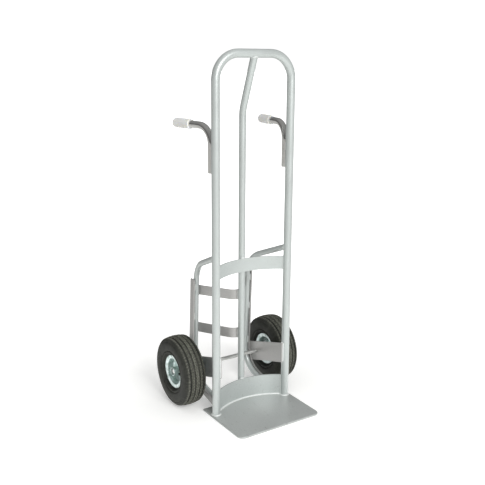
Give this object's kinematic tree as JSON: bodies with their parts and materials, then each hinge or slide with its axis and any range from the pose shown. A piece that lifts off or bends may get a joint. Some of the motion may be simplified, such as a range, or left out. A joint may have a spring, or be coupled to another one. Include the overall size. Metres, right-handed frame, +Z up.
{
  "type": "hand truck",
  "caption": "Two-wheel upright hand truck: welded tubular loop frame, curved cross bars, flat toe plate, rear-facing grips and pneumatic wheels turning on a fixed axle.",
  "frame": {"origin": "on the floor, under the middle of the line between the two uprights, on the underside of the toe plate", "axes": "+X across the truck to its right as seen from the load side, -Y towards the toe plate's front edge, +Y towards the wheels, +Z up along the uprights"},
  "size_m": [0.514, 0.502, 1.321],
  "materials": {
    "axle_steel": "cold drawn bar",
    "bearing_steel": "ground steel",
    "brass_valve": "brass with black rubber base",
    "cap_plastic": "black plastic",
    "chromed_tube": "bright plated steel",
    "frame_paint": "silver-grey enamel, satin",
    "grip_vinyl": "milky soft vinyl",
    "plate_paint": "silver-grey enamel on plate, satin",
    "tube_rubber": "butyl rubber",
    "tyre_rubber": "black rubber",
    "zinc_steel": "bright zinc plate"
  },
  "bodies": {
    "frame": {"axle": "axle_steel", "centre_tube": "frame_paint", "left_axle_bracket": "plate_paint", "left_axle_spacer": "zinc_steel", "left_grip": "grip_vinyl", "left_handle_tube": "chromed_tube", "left_inner_washer": "zinc_steel", "left_retaining_ring": "bearing_steel", "left_side_tube": "frame_paint", "left_skid_bar": "plate_paint", "lower_back_plate": "frame_paint", "lower_rear_strap": "plate_paint", "main_frame": "frame_paint", "right_axle_bracket": "plate_paint", "right_axle_spacer": "zinc_steel", "right_grip": "grip_vinyl", "right_handle_tube": "chromed_tube", "right_inner_washer": "zinc_steel", "right_retaining_ring": "bearing_steel", "right_side_tube": "frame_paint", "right_skid_bar": "plate_paint", "toe_plate": "plate_paint", "upper_cross_bar": "frame_paint", "upper_rear_strap": "plate_paint"},
    "left_wheel": {"left_tyre": "tyre_rubber", "left_inner_tube": "tube_rubber", "left_outer_rim_half": "zinc_steel", "left_inner_rim_half": "zinc_steel", "left_hub": "zinc_steel", "left_outer_bearing": "bearing_steel", "left_inner_bearing": "bearing_steel", "left_rim_bolts": "zinc_steel", "left_rim_nuts": "zinc_steel", "left_valve_stem": "brass_valve", "left_valve_cap": "cap_plastic"},
    "right_wheel": {"right_tyre": "tyre_rubber", "right_inner_tube": "tube_rubber", "right_outer_rim_half": "zinc_steel", "right_inner_rim_half": "zinc_steel", "right_hub": "zinc_steel", "right_outer_bearing": "bearing_steel", "right_inner_bearing": "bearing_steel", "right_rim_bolts": "zinc_steel", "right_rim_nuts": "zinc_steel", "right_valve_stem": "brass_valve", "right_valve_cap": "cap_plastic"}
  },
  "joints": [
    {"name": "left_wheel_spin", "type": "hinge", "parent": "frame", "child": "left_wheel", "pos_m": [-0.212, 0.17, 0.134], "axis": [1, 0, 0], "continuous": true},
    {"name": "right_wheel_spin", "type": "hinge", "parent": "frame", "child": "right_wheel", "pos_m": [0.212, 0.17, 0.134], "axis": [1, 0, 0], "continuous": true}
  ]
}
